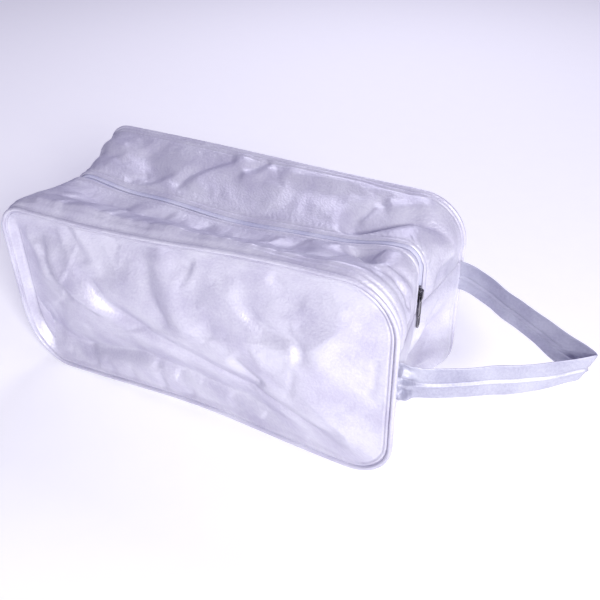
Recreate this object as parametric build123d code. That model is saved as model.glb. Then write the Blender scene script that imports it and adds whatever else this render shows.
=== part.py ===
"""A zipped shoe bag of coated nylon: two piped panels, a gusset round them, a coil zip and a wrist strap.

The origin is the middle of the bag's foot. X runs along the bag towards the strap, -Y is the front
panel and Z is up. Every length is in millimetres. The cloth parts are plain closed solids of the
bag's real outer shape, and the metal zip parts are shaped in full.
"""

import math
import os

from build123d import *

# The bag.
LENGTH = 352.0
HEIGHT = 176.0
DEPTH = 142.0
CLOTH = 1.0
TOP_RADIUS = 38.0
FOOT_RADIUS = 34.0
END_PINCH = 12.0  # how far the ends sink in at the zip
TOP_SAG = 18.0  # how far the top sinks in at the zip
SAGGED_RADIUS = 12.0  # the top corners' radius along the zip

# The cross seam, where the zip gusset joins the foot gusset and the halves of the mouth bend.
SEAM_HEIGHT = 112.0
SEAM_GAP = 0.3
PIPING_CLEARANCE = 1.8  # the bead swings down a little as a half opens

# Piping and seam binding.
BEAD_RADIUS = 2.0
CORD_RADIUS = 1.35
COVER_INNER_RADIUS = 1.4
TOUCH_GAP = 0.05
BINDING_WIDTH = 8.0
BINDING_THICKNESS = 1.8

# The coil zip.
ZIP_SLOT_HALF = 7.0
TAPE_OUTER_HALF = 16.0
TAPE_INNER_HALF = 0.65
TAPE_THICKNESS = 0.6
COIL_INNER_HALF = 0.65
COIL_OUTER_HALF = 2.9
COIL_THICKNESS = 1.9  # the coil is on the tape's inner side

# The slider, its bridge and its pull tab. Heights are along Z, on the bag's right end.
SLIDER_TOP = 135.6
SLIDER_FOOT = 122.4
SLIDER_HEAD_HALF = 4.4
SLIDER_TAIL_HALF = 2.7
PLATE_INNER_FACE = 0.2  # from the zip's surface out to the outer plate
PLATE_THICKNESS = 1.2
KEEPER_FACE = 3.95  # from the zip's surface in to the inner plate
KEEPER_THICKNESS = 1.0
WEB_HALF = 0.3
WEB_LENGTH = 4.5
BRIDGE_HALF_WIDTH = 1.2
BRIDGE_TOP = 133.8
BRIDGE_FOOT = 124.4
BRIDGE_THICKNESS = 1.0
TUNNEL_HEIGHT = 1.95
TAB_PIVOT_HEIGHT = 129.0
TAB_BAR_RADIUS = 0.7
TAB_HALF_WIDTH = 3.1
TAB_THICKNESS = 1.0
TAB_LENGTH = 30.5
TAB_EYE_HALF = 1.75
TAB_EYE_LENGTH = 6.2
TAB_SLOT_HALF = 1.7
TAB_SLOT_LENGTH = 7.4
TAB_SLOT_END = 2.0
TAB_PANEL_DEPTH = 0.25

# The wrist strap.
STRAP_WIDTH = 25.0
STRAP_THICKNESS = 2.2
STRAP_HEIGHT = 99.0
STRAP_SIDE = 67.6  # the strap's ends lie this far from the bag's middle
STRAP_PIVOT_X = 194.0
STRAP_STRAIGHT = 6.0
STRAP_REACH = 291.0
STRAP_REST_TILT = 3.4
STRAP_END_GAP = 0.5
CORE_THICKNESS = 1.0
CORE_WIDTH = 22.0

HALF_LENGTH = LENGTH / 2
HALF_DEPTH = DEPTH / 2
ZIP_X = HALF_LENGTH - END_PINCH
GUSSET_EDGE = HALF_DEPTH - BEAD_RADIUS - TOUCH_GAP
FAR = 1000.0


def slab(x=(-FAR, FAR), y=(-FAR, FAR), z=(-FAR, FAR)):
    """A box between the given limits, for cutting."""
    sizes = [high - low for low, high in (x, y, z)]
    middle = [(high + low) / 2 for low, high in (x, y, z)]
    return Pos(*middle) * Box(*sizes)


ABOVE_SEAM = slab(z=(SEAM_HEIGHT + SEAM_GAP, FAR))
BELOW_SEAM = slab(z=(-FAR, SEAM_HEIGHT - SEAM_GAP))


def outline(y, half, foot, top, foot_radius, top_radius):
    """A rounded rectangle standing in the plane at y, as a wire of four lines and four arcs."""
    corners = (
        (half - top_radius, top - top_radius, top_radius, 90),
        (-half + top_radius, top - top_radius, top_radius, 180),
        (-half + foot_radius, foot + foot_radius, foot_radius, 270),
        (half - foot_radius, foot + foot_radius, foot_radius, 360),
    )
    edges = []
    for index, (x, z, radius, last) in enumerate(corners):
        start, middle, end = (math.radians(last - turn) for turn in (90, 45, 0))
        points = [
            Vector(x + radius * math.cos(a), y, z + radius * math.sin(a)) for a in (start, middle, end)
        ]
        edges.append(Edge.make_three_point_arc(*points))
        following = corners[(index + 1) % 4]
        angle = math.radians(last)
        onward = Vector(
            following[0] + following[2] * math.cos(angle),
            y,
            following[1] + following[2] * math.sin(angle),
        )
        edges.append(Edge.make_line(points[2], onward))
    return Wire(edges)


def panel_outline(y, inset, foot=0.0):
    """The panels' outline, taken in by inset, with its foot at a height of its own."""
    low = foot + inset
    return outline(
        y, HALF_LENGTH - inset, low, HEIGHT - inset, FOOT_RADIUS - low, TOP_RADIUS - inset
    )


def pinched_block(inset):
    """The bag's full outer shape, sunk in along the zip, taken in by inset on every side but its panels."""
    side = Face(panel_outline(-HALF_DEPTH, inset))
    middle = Face(
        outline(
            0,
            ZIP_X - inset,
            inset,
            HEIGHT - TOP_SAG - inset,
            FOOT_RADIUS - inset,
            SAGGED_RADIUS - inset,
        )
    )
    far_side = Face(panel_outline(HALF_DEPTH, inset))
    return loft([side, middle, far_side], ruled=True)


def gusset_band(outer, inner, y):
    """The wall between two insets of the pinched block, between two depths."""
    return (pinched_block(outer) - pinched_block(inner)) & slab(y=y)


def panel_plate():
    """The front panel, inside its piping."""
    face = Face(panel_outline(-HALF_DEPTH, BEAD_RADIUS + TOUCH_GAP, foot=BEAD_RADIUS + TOUCH_GAP))
    return extrude(face, amount=CLOTH, dir=(0, 1, 0))


def bead(radius):
    """A round bar along the front panel's edge, of the given radius."""
    path = panel_outline(-HALF_DEPTH, 0, foot=BEAD_RADIUS + TOUCH_GAP)
    section = Plane(origin=path @ 0, z_dir=path % 0) * Circle(radius)
    return sweep(section, path=path)


def binding_ring():
    """The tape that binds the raw edges inside the front seam, lying against the panel."""
    inset = BEAD_RADIUS + TOUCH_GAP + 1.1
    foot = BEAD_RADIUS + TOUCH_GAP
    y = -HALF_DEPTH + CLOTH + 0.15
    outer = Face(panel_outline(y, inset, foot=foot))
    inner = Face(panel_outline(y, inset + BINDING_WIDTH, foot=foot))
    ring = extrude(outer, amount=BINDING_THICKNESS, dir=(0, 1, 0))
    return ring - extrude(inner, amount=BINDING_THICKNESS, dir=(0, 1, 0))


def front_nodes():
    """The front panel, its zip gusset, its piping, its binding and its side of the zip."""
    above_bead_cut = slab(z=(SEAM_HEIGHT + PIPING_CLEARANCE, FAR))
    cord = bead(CORD_RADIUS)
    cover = bead(BEAD_RADIUS) - bead(COVER_INNER_RADIUS)
    panel = panel_plate()
    binding = binding_ring()
    gusset = gusset_band(0, CLOTH, (-GUSSET_EDGE, -ZIP_SLOT_HALF))
    tape_face = CLOTH + TOUCH_GAP
    tape_back = tape_face + TAPE_THICKNESS
    tape = gusset_band(tape_face, tape_back, (-TAPE_OUTER_HALF, -TAPE_INNER_HALF))
    coil_face = tape_back + TOUCH_GAP
    coil_back = coil_face + COIL_THICKNESS
    coil = gusset_band(coil_face, coil_back, (-COIL_OUTER_HALF, -COIL_INNER_HALF))
    return {
        "panel_upper": panel & ABOVE_SEAM,
        "panel_lower": panel & BELOW_SEAM,
        "piping_cover_upper": cover & above_bead_cut,
        "piping_cover_lower": cover & BELOW_SEAM,
        "piping_cord_upper": cord & above_bead_cut,
        "piping_cord_lower": cord & BELOW_SEAM,
        "seam_binding_upper": binding & ABOVE_SEAM,
        "seam_binding_lower": binding & BELOW_SEAM,
        "zip_gusset": gusset & ABOVE_SEAM,
        "zip_tape": tape & ABOVE_SEAM,
        "zip_coil": coil & ABOVE_SEAM,
    }


def foot_gusset():
    """The wide strip that runs down one end, along the foot and up the other end."""
    return gusset_band(0, CLOTH, (-GUSSET_EDGE, GUSSET_EDGE)) & BELOW_SEAM


def cross_seam_binding():
    """The tape that binds the raw edges inside the right cross seam, below the seam line."""
    face = CLOTH + 0.1
    half = HALF_DEPTH - 6
    band = gusset_band(face, face + BINDING_THICKNESS, (-half, half))
    top = SEAM_HEIGHT - 1
    return band & slab(x=(0, FAR), z=(top - BINDING_WIDTH, top))


def slider_plate(face, thickness):
    """One plate of the slider, wide at its lower, leading end, with its outer face's rim rounded."""
    outline_points = [
        (-SLIDER_TAIL_HALF, SLIDER_TOP),
        (-SLIDER_HEAD_HALF, SLIDER_FOOT + 5.2),
        (-SLIDER_HEAD_HALF, SLIDER_FOOT),
        (SLIDER_HEAD_HALF, SLIDER_FOOT),
        (SLIDER_HEAD_HALF, SLIDER_FOOT + 5.2),
        (SLIDER_TAIL_HALF, SLIDER_TOP),
    ]
    wire = Wire.make_polygon([Vector(face, y, z) for y, z in outline_points], close=True)
    plate = extrude(Face(wire), amount=thickness, dir=(1, 0, 0))
    upright = plate.edges().filter_by(Axis.X)
    return fillet(upright, 1.6)


def slider_body():
    """The slider's two plates, joined by the thin web that runs between the coils."""
    outer_face = ZIP_X + PLATE_INNER_FACE
    keeper_face = ZIP_X - KEEPER_FACE
    outer = slider_plate(outer_face, PLATE_THICKNESS)
    outer = fillet(outer.faces().sort_by(Axis.X)[-1].edges(), 0.4)
    keeper = slider_plate(keeper_face - KEEPER_THICKNESS, KEEPER_THICKNESS)
    web = slab(
        (keeper_face - 0.5, outer_face + 0.5),
        (-WEB_HALF, WEB_HALF),
        (SLIDER_FOOT + 1.5, SLIDER_FOOT + 1.5 + WEB_LENGTH),
    )
    return outer + keeper + web


def slider_bridge():
    """The arch over the slider, which the pull tab's bar turns under."""
    base = ZIP_X + PLATE_INNER_FACE + PLATE_THICKNESS
    crown = base + TUNNEL_HEIGHT + BRIDGE_THICKNESS
    whole = slab(
        (base, crown), (-BRIDGE_HALF_WIDTH, BRIDGE_HALF_WIDTH), (BRIDGE_FOOT, BRIDGE_TOP)
    )
    outer_corners = whole.faces().sort_by(Axis.X)[-1].edges().filter_by(Axis.Y)
    whole = fillet(outer_corners, 1.8)
    tunnel = slab(
        (base - 1, base + TUNNEL_HEIGHT),
        (-FAR, FAR),
        (BRIDGE_FOOT + BRIDGE_THICKNESS, BRIDGE_TOP - BRIDGE_THICKNESS),
    )
    tunnel_corners = tunnel.faces().sort_by(Axis.X)[-1].edges().filter_by(Axis.Y)
    tunnel = fillet(tunnel_corners, 0.8)
    arch = whole - tunnel
    return fillet(arch.faces().sort_by(Axis.X)[-1].edges(), 0.3)


def tab_pivot_x():
    """Where the pull tab's bar turns, halfway up the tunnel under the bridge."""
    base = ZIP_X + PLATE_INNER_FACE + PLATE_THICKNESS
    return base + TUNNEL_HEIGHT / 2 + 0.02


def pull_tab():
    """The pull tab, hanging from its bar: an eye round the bridge, a sunk panel and a slot at its end."""
    x = tab_pivot_x()
    low = TAB_PIVOT_HEIGHT - TAB_LENGTH
    plate = slab(
        (x - TAB_THICKNESS / 2, x + TAB_THICKNESS / 2),
        (-TAB_HALF_WIDTH, TAB_HALF_WIDTH),
        (low, TAB_PIVOT_HEIGHT),
    )
    ends = plate.edges().filter_by(Axis.X).sort_by(Axis.Z)[:2]
    plate = fillet(ends, TAB_HALF_WIDTH - 0.2)
    eye = slab(
        (x - 5, x + 5),
        (-TAB_EYE_HALF, TAB_EYE_HALF),
        (TAB_PIVOT_HEIGHT - TAB_EYE_LENGTH, TAB_PIVOT_HEIGHT + 1),
    )
    eye = fillet(eye.edges().filter_by(Axis.X).sort_by(Axis.Z)[:2], 1.2)
    slot_low = low + TAB_SLOT_END
    slot = slab(
        (x - 5, x + 5),
        (-TAB_SLOT_HALF, TAB_SLOT_HALF),
        (slot_low, slot_low + TAB_SLOT_LENGTH),
    )
    slot = fillet(slot.edges().filter_by(Axis.X), TAB_SLOT_HALF - 0.1)
    panel = slab(
        (x + TAB_THICKNESS / 2 - TAB_PANEL_DEPTH, x + 5),
        (-TAB_HALF_WIDTH + 0.9, TAB_HALF_WIDTH - 0.9),
        (slot_low + TAB_SLOT_LENGTH + 1.3, TAB_PIVOT_HEIGHT - TAB_EYE_LENGTH - 1.3),
    )
    panel = fillet(panel.edges().filter_by(Axis.X), 0.9)
    bar = Pos(x, 0, TAB_PIVOT_HEIGHT) * Rot(90, 0, 0) * Cylinder(TAB_BAR_RADIUS, 2 * TAB_HALF_WIDTH)
    return plate - eye - slot - panel + bar


def strap_leg(thickness, width):
    """The rear half of the strap's loop, level: out from the bag, then straight to the fold."""
    bend_x = STRAP_PIVOT_X + STRAP_STRAIGHT
    half_turn = math.atan2(STRAP_SIDE, STRAP_REACH - bend_x) / 2
    half = thickness / 2
    shift = half * math.tan(half_turn)
    reach = half / math.sin(2 * half_turn)
    start_x = STRAP_PIVOT_X - STRAP_WIDTH / 2
    points = [
        (start_x, STRAP_SIDE + half),
        (bend_x + shift, STRAP_SIDE + half),
        (STRAP_REACH + reach, 0),
        (STRAP_REACH - reach, 0),
        (bend_x - shift, STRAP_SIDE - half),
        (start_x, STRAP_SIDE - half),
    ]
    low = STRAP_HEIGHT - width / 2
    face = Face(Wire.make_polygon([Vector(x, y, low) for x, y in points], close=True))
    return extrude(face, amount=width, dir=(0, 0, 1))


def pivot_cylinder(radius):
    """A cylinder about the line that the strap's loop turns on, right across the bag."""
    return Pos(STRAP_PIVOT_X, 0, STRAP_HEIGHT) * Rot(90, 0, 0) * Cylinder(radius, 2 * FAR)


def strap_loop(thickness, width):
    """The strap's loop as a level solid, with ends rounded about the line that it turns on."""
    leg = strap_leg(thickness, width)
    loop = leg + mirror(leg, about=Plane.XZ)
    return loop - (slab(x=(-FAR, STRAP_PIVOT_X)) - pivot_cylinder(width / 2))


def at_rest(solid):
    """The strap's solids, lifted to the angle that the strap keeps when it is left alone."""
    pivot = Axis((STRAP_PIVOT_X, 0, STRAP_HEIGHT), (0, -1, 0))
    return solid.rotate(pivot, STRAP_REST_TILT)


def strap_nodes():
    """The strap's folded sleeve and the webbing core inside it."""
    sleeve = strap_loop(STRAP_THICKNESS, STRAP_WIDTH)
    hollow = strap_loop(CORE_THICKNESS + 2 * TOUCH_GAP, CORE_WIDTH + 2 * TOUCH_GAP)
    core = strap_loop(CORE_THICKNESS, CORE_WIDTH)
    return {"strap_sleeve": at_rest(sleeve - hollow), "strap_core": at_rest(core)}


def strap_end():
    """The strap's rear end, sewn into the seam, which stops just short of the loop's round end."""
    half = STRAP_THICKNESS / 2
    return slab(
        (HALF_LENGTH + TOUCH_GAP, STRAP_PIVOT_X - STRAP_WIDTH / 2 - STRAP_END_GAP),
        (STRAP_SIDE - half, STRAP_SIDE + half),
        (STRAP_HEIGHT - STRAP_WIDTH / 2, STRAP_HEIGHT + STRAP_WIDTH / 2),
    )


def all_nodes():
    """Every separate piece of the bag, by name."""
    nodes = {}
    for name, solid in front_nodes().items():
        nodes[f"front_{name}"] = solid
        nodes[f"back_{name}"] = mirror(solid, about=Plane.XZ)
    nodes["foot_gusset"] = foot_gusset()
    right = cross_seam_binding()
    nodes["right_cross_seam_binding"] = right
    nodes["left_cross_seam_binding"] = mirror(right, about=Plane.YZ)
    nodes["slider_body"] = slider_body()
    nodes["slider_bridge"] = slider_bridge()
    nodes["pull_tab"] = pull_tab()
    nodes.update(strap_nodes())
    rear_end = strap_end()
    nodes["back_strap_end"] = rear_end
    nodes["front_strap_end"] = mirror(rear_end, about=Plane.XZ)
    return nodes


os.makedirs("parts", exist_ok=True)
for node, shape in all_nodes().items():
    export_step(shape, f"parts/{node}.step")
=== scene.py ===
"""A silver nylon shoe bag with piped seams, a zip over its top and a wrist strap, built on its frame."""

import math

import bpy
import numpy as np
from mathutils import Matrix, Vector


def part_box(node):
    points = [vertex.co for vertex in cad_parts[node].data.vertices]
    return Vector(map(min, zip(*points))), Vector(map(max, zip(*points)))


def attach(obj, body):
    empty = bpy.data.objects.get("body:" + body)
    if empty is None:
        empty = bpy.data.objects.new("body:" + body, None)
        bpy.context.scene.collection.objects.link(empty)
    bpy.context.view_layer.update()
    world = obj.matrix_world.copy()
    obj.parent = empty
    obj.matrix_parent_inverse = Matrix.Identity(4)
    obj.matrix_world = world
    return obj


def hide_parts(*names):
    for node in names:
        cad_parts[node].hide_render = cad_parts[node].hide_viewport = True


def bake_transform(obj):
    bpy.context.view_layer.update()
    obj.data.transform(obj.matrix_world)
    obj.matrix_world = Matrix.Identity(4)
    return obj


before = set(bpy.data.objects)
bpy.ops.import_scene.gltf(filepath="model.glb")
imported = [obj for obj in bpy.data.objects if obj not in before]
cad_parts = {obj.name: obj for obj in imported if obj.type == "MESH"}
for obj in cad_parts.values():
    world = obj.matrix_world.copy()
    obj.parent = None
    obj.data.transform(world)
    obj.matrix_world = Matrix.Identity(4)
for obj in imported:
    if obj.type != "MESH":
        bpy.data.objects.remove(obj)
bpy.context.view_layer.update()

# ---------------------------------------------------------------------------------------------
# Camera, studio light and floor. The camera stands in front of the bag, a little to its right,
# and looks down on it. One large soft light is in front on the right, in a pale room.

MM = 0.001


def node(tree, kind, links=(), **settings):
    """Adds a shader node, sets its properties or input values by name, and links its inputs."""
    made = tree.nodes.new(kind)
    for name, value in settings.items():
        if hasattr(made, name):
            setattr(made, name, value)
        else:
            made.inputs[name.replace("_", " ")].default_value = value
    for name, source in dict(links).items():
        tree.links.new(source, made.inputs[name])
    return made


def colour(code):
    """The linear red, green, blue and alpha of an sRGB hex colour."""
    values = np.array([int(code[i : i + 2], 16) for i in (1, 3, 5)]) / 255
    linear = np.where(values <= 0.04045, values / 12.92, ((values + 0.055) / 1.055) ** 2.4)
    return (*linear.tolist(), 1.0)


camera = bpy.data.objects.new("camera", bpy.data.cameras.new("camera"))
camera.data.sensor_width = 36
camera.data.lens = 44.7
camera.data.clip_start = 0.05
camera_right = Vector((0.8906, 0.4547, -0.0115)).normalized()
camera_back = Vector((0.3805, -0.7310, 0.5664)).normalized()
camera_up = camera_back.cross(camera_right).normalized()
camera_right = camera_up.cross(camera_back)
turn = Matrix((camera_right, camera_up, camera_back)).transposed().to_4x4()
camera.matrix_world = Matrix.Translation((0.2990, -0.4505, 0.4422)) @ turn
bpy.context.scene.collection.objects.link(camera)
bpy.context.scene.camera = camera


def softbox(name, place, aim, size, power, tint):
    """A square area light at place, facing aim."""
    light = bpy.data.objects.new(name, bpy.data.lights.new(name, "AREA"))
    light.data.size = size
    light.data.energy = power
    light.data.color = colour(tint)[:3]
    light.location = place
    light.rotation_euler = (Vector(aim) - Vector(place)).to_track_quat("-Z", "Y").to_euler()
    bpy.context.scene.collection.objects.link(light)


softbox("key_light", (1.18, -1.05, 0.88), (0.02, 0, 0.08), 0.4, 22, "#fffefc")
softbox("rear_light", (-0.3, 1.2, 1.3), (0, 0, 0.1), 0.8, 7, "#f3f1ff")

world = bpy.data.worlds.new("pale_room")
world.use_nodes = True
world.node_tree.nodes["Background"].inputs["Color"].default_value = colour("#cdc6f0")
world.node_tree.nodes["Background"].inputs["Strength"].default_value = 0.34
bpy.context.scene.world = world
bpy.context.scene.view_settings.view_transform = "Standard"
bpy.context.scene.view_settings.look = "Medium High Contrast"

floor_mesh = bpy.data.meshes.new("floor")
floor_half = 6.0
floor_mesh.from_pydata(
    [(-floor_half, -floor_half, 0), (floor_half, -floor_half, 0),
     (floor_half, floor_half, 0), (-floor_half, floor_half, 0)],
    [], [(0, 1, 2, 3)],
)
floor = bpy.data.objects.new("floor", floor_mesh)
bpy.context.scene.collection.objects.link(floor)
paper = bpy.data.materials.new("white_backdrop_paper")
paper.use_nodes = True
paper_shader = paper.node_tree.nodes["Principled BSDF"]
paper_tree = paper.node_tree
paper_place = node(paper_tree, "ShaderNodeTexCoord").outputs["Object"]
fibres = node(paper_tree, "ShaderNodeTexNoise", {"Vector": paper_place}, Scale=40.0, Detail=3.0)
paper_ramp = node(paper_tree, "ShaderNodeValToRGB", {"Fac": fibres.outputs["Fac"]})
paper_ramp.color_ramp.elements[0].color = colour("#fbfbfd")
paper_ramp.color_ramp.elements[1].color = colour("#ffffff")
paper_tree.links.new(paper_ramp.outputs["Color"], paper_shader.inputs["Base Color"])
paper_shader.inputs["Roughness"].default_value = 0.9
paper_shader.inputs["Emission Color"].default_value = (1, 1, 1, 1)
paper_shader.inputs["Emission Strength"].default_value = 0.16
floor_mesh.materials.append(paper)

# ---------------------------------------------------------------------------------------------
# Front and back panels. Each is one cut piece of silver-coated nylon taffeta, sewn into a piped
# seam all round. They share one slumped shape with the strips and gusset, so that the seams meet.

seam_low, seam_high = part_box("front_piping_cover_lower")
BEAD = (seam_high.y - seam_low.y) / 2 / MM
HALF_LENGTH = seam_high.x / MM - BEAD
HALF_DEPTH = -(seam_low.y + seam_high.y) / 2 / MM
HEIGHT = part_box("front_piping_cover_upper")[1].z / MM - BEAD
END_SINK = 11.65  # how far the zip's line lies in from the ends of the gusset's box
TOP_SINK = 18
ZIP_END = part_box("foot_gusset")[1].x / MM - END_SINK
ZIP_TOP = HEIGHT - TOP_SINK
CLOTH = 0.6


def ease(value, low, high):
    """0 below low, 1 above high, and smooth between them."""
    share = np.clip((value - low) / (high - low), 0, 1)
    return share * share * (3 - 2 * share)


def outline(t, left, right, foot, top, radii):
    """A rounded rectangle: t runs 0 to 8 up the right side, then round by way of the top and the foot."""
    top_right, top_left, foot_left, foot_right = radii
    segment = np.minimum(np.floor(t % 8), 7).astype(int)
    share = (t % 8) - segment
    lines = {
        0: ((right, foot + foot_right), (right, top - top_right)),
        2: ((right - top_right, top), (left + top_left, top)),
        4: ((left, top - top_left), (left, foot + foot_left)),
        6: ((left + foot_left, foot), (right - foot_right, foot)),
    }
    corners = {
        1: (right - top_right, top - top_right, top_right, 0),
        3: (left + top_left, top - top_left, top_left, 90),
        5: (left + foot_left, foot + foot_left, foot_left, 180),
        7: (right - foot_right, foot + foot_right, foot_right, 270),
    }
    x, z = np.zeros_like(share), np.zeros_like(share)
    for index, (start, end) in lines.items():
        here = segment == index
        x[here] = start[0] + share[here] * (end[0] - start[0])
        z[here] = start[1] + share[here] * (end[1] - start[1])
    for index, (middle_x, middle_z, radius, begin) in corners.items():
        here = segment == index
        angle = np.radians(begin + 90 * share[here])
        x[here] = middle_x + radius * np.cos(angle)
        z[here] = middle_z + radius * np.sin(angle)
    return x, z


FRONT = dict(left=-HALF_LENGTH - 5, right=HALF_LENGTH - 1, foot=BEAD + 0.1, top=HEIGHT,
             radii=(42, 26, 34, 34))
MIDDLE = dict(left=-ZIP_END, right=ZIP_END, foot=0.4, top=ZIP_TOP, radii=(12, 20, 34, 34))
BACK = dict(left=-HALF_LENGTH + 2, right=HALF_LENGTH + 1, foot=BEAD + 0.1, top=HEIGHT,
            radii=(38, 24, 34, 34))


def slump(points):
    """How the half-empty bag settles: a smooth push on every point, in millimetres, by where it is.

    The front's top sinks towards the left, the back's top rises there, the zip dips in the middle and
    humps at its right corner, and the front seam's foot arches off the floor.
    """
    x, y, z = points[..., 0], points[..., 1], points[..., 2]
    front = np.clip(-y / HALF_DEPTH, 0, 1) ** 1.4
    back = np.clip(y / HALF_DEPTH, 0, 1) ** 1.4
    middle = np.clip(1 - np.abs(y) / HALF_DEPTH, 0, 1) ** 1.2
    high = ease(z, 0.5 * HEIGHT, 0.92 * HEIGHT)
    low = 1 - ease(z, 0, 60)
    moved = points.copy()
    moved[..., 2] -= front * high * 16 * (0.5 - 0.5 * np.tanh((x - 10) / 75))
    moved[..., 2] += back * high * 5 * (0.5 - 0.5 * np.tanh((x - 20) / 80))
    dip = -6.5 * np.exp(-(((x - 5) / 60) ** 2)) + 8 * np.exp(-(((x - 146) / 28) ** 2))
    dip += 4 * np.exp(-(((x + 146) / 24) ** 2)) - 2 * np.exp(-(((x + 95) / 25) ** 2))
    moved[..., 2] += middle * high * dip
    moved[..., 2] += front * low * 9 * np.exp(-((x / 95) ** 2))
    moved[..., 0] += front * low * 8 * ease(-x, 100, 170)
    return moved


def shell(t, v):
    """The bag's skin: t runs round the outline, and v from -1 at the front seam to 1 at the back seam."""
    front, middle, back = (np.stack(outline(t, **o), -1) for o in (FRONT, MIDDLE, BACK))
    share = np.abs(v)[..., None]
    side = np.where(v[..., None] < 0, front, back)
    flat = middle + share * (side - middle)
    base = np.stack([flat[..., 0], v * HALF_DEPTH, flat[..., 1]], -1)
    return slump(base)


def grid_object(name, points, flip=False, around=False, closed=False, caps=False):
    """A mesh over a grid of points in millimetres, with a UV map that holds the cloth's own millimetres.

    around joins the last column to the first, closed joins the last row to the first, and caps closes
    the two ends of a tube with a face each.
    """
    rows, columns = points.shape[:2]
    i = np.arange(rows + closed) % rows
    j = np.arange(columns + around) % columns
    index = i[:, None] * columns + j
    quads = np.stack([index[:-1, :-1], index[:-1, 1:], index[1:, 1:], index[1:, :-1]], -1).reshape(-1, 4)
    spread = points[i][:, j]
    down = np.linalg.norm(np.diff(spread, axis=0), axis=-1)
    across = np.linalg.norm(np.diff(spread, axis=1), axis=-1)
    u = np.concatenate([np.zeros((len(i), 1)), np.cumsum(across, 1)], 1)
    v = np.concatenate([np.zeros((1, len(j))), np.cumsum(down, 0)], 0)
    uv = np.stack([u, v], -1)
    corners = np.stack([uv[:-1, :-1], uv[:-1, 1:], uv[1:, 1:], uv[1:, :-1]], -2).reshape(-1, 4, 2)
    if flip:
        quads, corners = quads[:, ::-1], corners[:, ::-1]
    faces = quads.tolist()
    corners = corners.reshape(-1, 2)
    if caps:
        first, last = index[0, :columns].tolist(), index[-1, :columns].tolist()
        faces += [first, last[::-1]] if flip else [first[::-1], last]
        corners = np.vstack([corners, np.zeros((2 * columns, 2))])
    mesh = bpy.data.meshes.new(name)
    mesh.from_pydata((points.reshape(-1, 3) * MM).tolist(), [], faces)
    mesh.uv_layers.new(name="cloth_mm").data.foreach_set("uv", corners.astype(np.float32).ravel())
    mesh.polygons.foreach_set("use_smooth", np.ones(len(faces), bool))
    piece = bpy.data.objects.new(name, mesh)
    bpy.context.scene.collection.objects.link(piece)
    return piece


def thicken(piece, thickness):
    """Gives a sheet its thickness, inwards from its outer face."""
    wall = piece.modifiers.new("thickness", "SOLIDIFY")
    wall.thickness = thickness * MM
    wall.offset = -1
    wall.use_even_offset = False


SIMULATION_FRAMES = 12
HOLD_LEVELS = 20
FARTHEST_MOVE = 3 * MM


def buckle(piece, free, grow, bending):
    """A short cloth simulation: the sheet grows a little between the places that hold it, and buckles.

    free is each point's freedom, from 0, sewn, to 1, and grow is the share of its size that the cloth
    gains. The result is applied, and no point moves over 3 mm.
    """
    mesh = piece.data
    before = np.empty(3 * len(mesh.vertices), np.float32)
    mesh.vertices.foreach_get("co", before)
    group = piece.vertex_groups.new(name="hold")
    hold = 1 - 0.97 * free
    level = np.round(hold.ravel() * HOLD_LEVELS).astype(int)
    for step in range(1, HOLD_LEVELS + 1):
        group.add(np.flatnonzero(level == step).tolist(), step / HOLD_LEVELS, "REPLACE")
    cloth = piece.modifiers.new("cloth", "CLOTH")
    rules = cloth.settings
    rules.quality = 4
    rules.mass = 0.15
    rules.tension_stiffness = 15
    rules.compression_stiffness = 15
    rules.shear_stiffness = 5
    rules.bending_stiffness = bending
    rules.vertex_group_mass = "hold"
    rules.shrink_min = -grow
    rules.effector_weights.gravity = 0
    cloth.collision_settings.use_collision = False
    scene = bpy.context.scene
    for frame_number in range(1, SIMULATION_FRAMES + 1):
        scene.frame_set(frame_number)
    after = np.empty_like(before)
    piece.evaluated_get(bpy.context.evaluated_depsgraph_get()).data.vertices.foreach_get("co", after)
    piece.modifiers.remove(cloth)
    piece.vertex_groups.clear()
    scene.frame_set(1)
    move = (after - before).reshape(-1, 3)
    far = np.linalg.norm(move, axis=1, keepdims=True)
    move *= np.minimum(1, FARTHEST_MOVE / np.maximum(far, 1e-9))
    mesh.vertices.foreach_set("co", (before + move.ravel()).astype(np.float32))
    mesh.update()


def smooth_line(points, count):
    """A smooth line through the points: cubic between each pair, evenly sampled in the parameter."""
    points = np.asarray(points, float)
    if len(points) == 2:
        return points[0] + np.linspace(0, 1, count)[:, None] * (points[1] - points[0])
    padded = np.vstack([2 * points[0] - points[1], points, 2 * points[-1] - points[-2]])
    at = np.linspace(0, len(points) - 1, count)
    i = np.minimum(at.astype(int), len(points) - 2)
    f = (at - i)[:, None]
    a, b, c, d = padded[i], padded[i + 1], padded[i + 2], padded[i + 3]
    return 0.5 * (2 * b + (c - a) * f + (2 * a - 5 * b + 4 * c - d) * f**2 + (3 * b - a - 3 * c + d) * f**3)


FOLD_RADIUS = 1.2


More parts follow.
